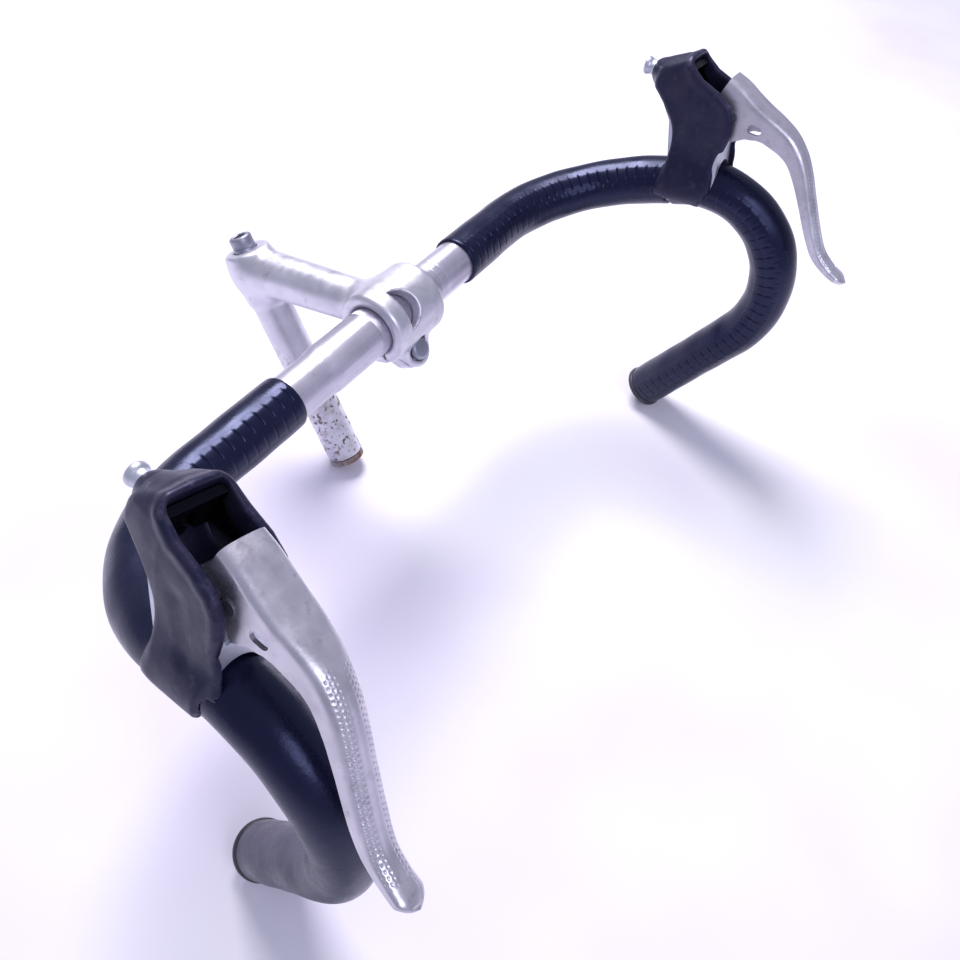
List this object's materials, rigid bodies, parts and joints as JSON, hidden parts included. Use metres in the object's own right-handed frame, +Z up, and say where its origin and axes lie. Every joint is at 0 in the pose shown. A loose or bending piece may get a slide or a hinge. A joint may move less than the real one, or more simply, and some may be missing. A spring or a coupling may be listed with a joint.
{
  "type": "drop handlebar with stem and brake levers",
  "caption": "Drop handlebar in a quill stem, with rubber sleeves, hooded brake levers that pull, cable ferrules and an expander cone on its bolt.",
  "frame": {"origin": "centre of the quill's lower end, on the quill's axis", "axes": "+X forward as the bicycle rides, +Y to the rider's left, +Z up from the floor it stands on"},
  "size_m": [0.3022, 0.4486, 0.2396],
  "materials": {
    "cast_alloy": "satin, scuffed",
    "bar_alloy": "brushed anodised",
    "lever_alloy": "polished, worn",
    "body_alloy": "satin",
    "steel": "zinc plated, dull",
    "bush_brass": "plain",
    "sleeve_rubber": "moulded, semi-gloss",
    "hood_rubber": "matte, dusty",
    "plug_plastic": "matte"
  },
  "bodies": {
    "handlebar_and_stem": {"stem": "cast_alloy", "clamp_bolt": "steel", "clamp_nut": "steel", "handlebar": "bar_alloy", "centre_sleeve": "bar_alloy", "upper_sleeve_left": "sleeve_rubber", "upper_sleeve_right": "sleeve_rubber", "lower_sleeve_left": "sleeve_rubber", "lower_sleeve_right": "sleeve_rubber", "end_plug_left": "plug_plastic", "end_plug_right": "plug_plastic", "lever_body_left": "body_alloy", "lever_body_right": "body_alloy", "hood_left": "hood_rubber", "hood_right": "hood_rubber", "clamp_band_left": "steel", "clamp_band_right": "steel", "band_bolt_left": "steel", "band_bolt_right": "steel", "band_nut_left": "steel", "band_nut_right": "steel", "pivot_pin_left": "steel", "pivot_pin_right": "steel"},
    "expander_cone": {"expander_cone": "steel"},
    "expander_bolt": {"expander_bolt": "steel"},
    "left_lever": {"lever_blade_left": "lever_alloy", "pivot_bushes_left": "bush_brass"},
    "left_anchor": {"cable_anchor_left": "steel"},
    "left_ferrule": {"cable_ferrule_left": "body_alloy"},
    "right_lever": {"lever_blade_right": "lever_alloy", "pivot_bushes_right": "bush_brass"},
    "right_anchor": {"cable_anchor_right": "steel"},
    "right_ferrule": {"cable_ferrule_right": "body_alloy"}
  },
  "joints": [
    {"name": "left_lever_pull", "type": "hinge", "parent": "handlebar_and_stem", "child": "left_lever", "pos_m": [0.12612, 0.18839, 0.20691], "axis": [-0.0398, 0.9883, -0.1472], "range_deg": [-14, 6]},
    {"name": "left_anchor_turn", "type": "hinge", "parent": "left_lever", "child": "left_anchor", "pos_m": [0.12165, 0.18995, 0.21862], "axis": [-0.0398, 0.9883, -0.1472], "range_deg": [-20, 20]},
    {"name": "left_ferrule_turn", "type": "hinge", "parent": "handlebar_and_stem", "child": "left_ferrule", "pos_m": [0.08617, 0.18783, 0.21397], "axis": [-0.9992, -0.039, 0.0082], "continuous": true},
    {"name": "right_lever_pull", "type": "hinge", "parent": "handlebar_and_stem", "child": "right_lever", "pos_m": [0.12875, -0.20576, 0.20506], "axis": [0.101, 0.9561, -0.2751], "range_deg": [-14, 6]},
    {"name": "right_anchor_turn", "type": "hinge", "parent": "right_lever", "child": "right_anchor", "pos_m": [0.12497, -0.20206, 0.21653], "axis": [0.101, 0.9561, -0.2751], "range_deg": [-20, 20]},
    {"name": "right_ferrule_turn", "type": "hinge", "parent": "handlebar_and_stem", "child": "right_ferrule", "pos_m": [0.08942, -0.19939, 0.21276], "axis": [-0.9931, 0.1133, 0.0292], "continuous": true},
    {"name": "expander_slide", "type": "slide", "parent": "handlebar_and_stem", "child": "expander_cone", "axis": [0.5023, 0, -0.8647], "range_m": [0, 0.006]},
    {"name": "expander_bolt_turn", "type": "hinge", "parent": "expander_cone", "child": "expander_bolt", "pos_m": [0, 0, 0], "axis": [-0.5023, 0, 0.8647], "continuous": true}
  ]
}
